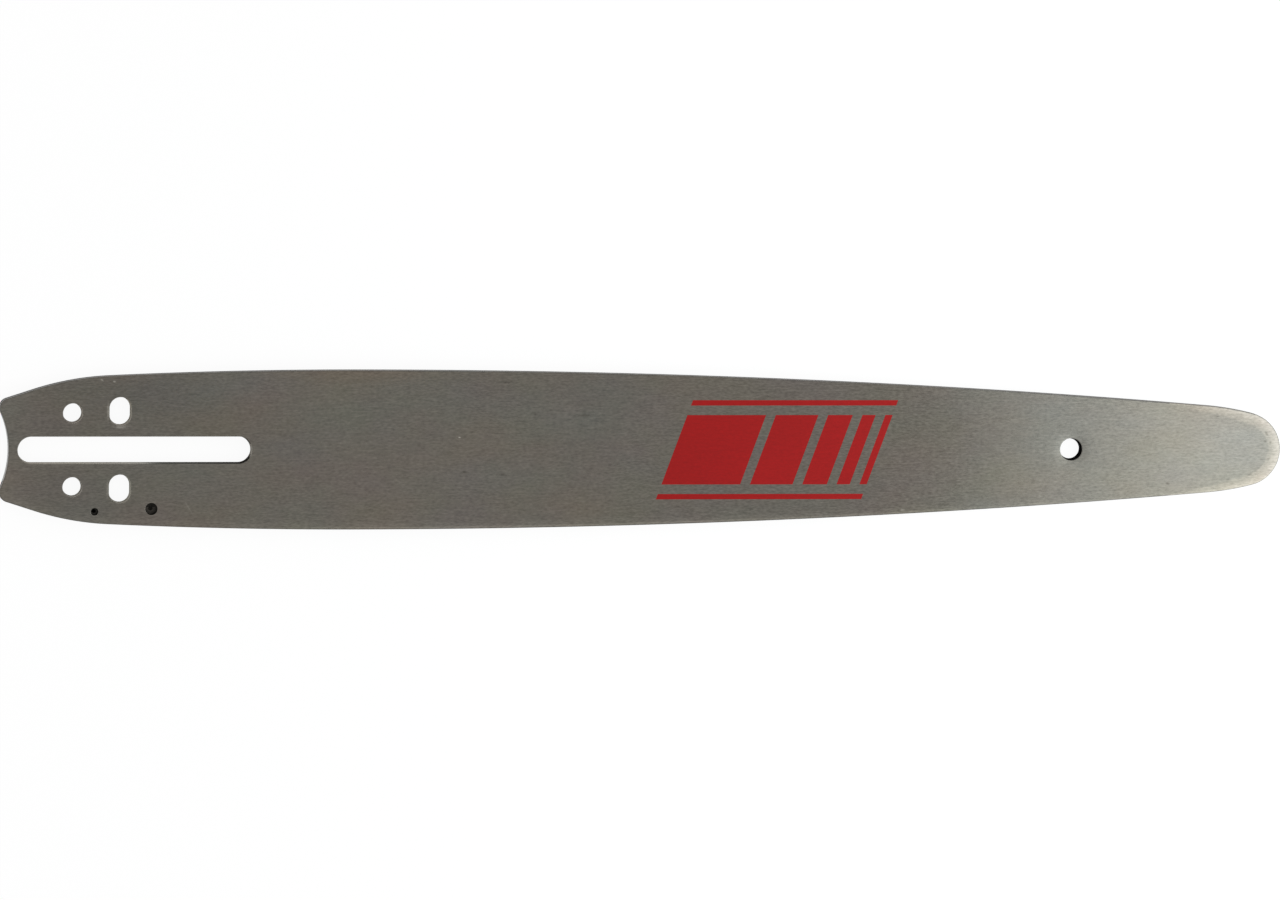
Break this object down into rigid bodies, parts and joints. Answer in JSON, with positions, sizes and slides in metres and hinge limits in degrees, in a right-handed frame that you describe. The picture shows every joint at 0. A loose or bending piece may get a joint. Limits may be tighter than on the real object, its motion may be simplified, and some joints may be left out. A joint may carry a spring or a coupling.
{
  "type": "chainsaw guide bar",
  "caption": "Long flat steel bar with a grooved edge that guides a saw chain round its hard-faced nose, clamped to a saw through the slot in its tail.",
  "frame": {"origin": "middle of the stud slot, on the lower face that the bar lies on", "axes": "+X along the bar to its nose, +Y across the bar, +Z out of its upper face"},
  "size_m": [0.3899, 0.048, 0.004],
  "materials": {
    "bar_steel": "satin, ground along the length",
    "hard_facing": "pale welded alloy, ground flush",
    "red_ink": "satin ink, screen-printed on the upper face"
  },
  "bodies": {
    "root": {"bar_body": "bar_steel", "nose_facing_lower": "hard_facing", "nose_facing_upper": "hard_facing"}
  },
  "joints": []
}
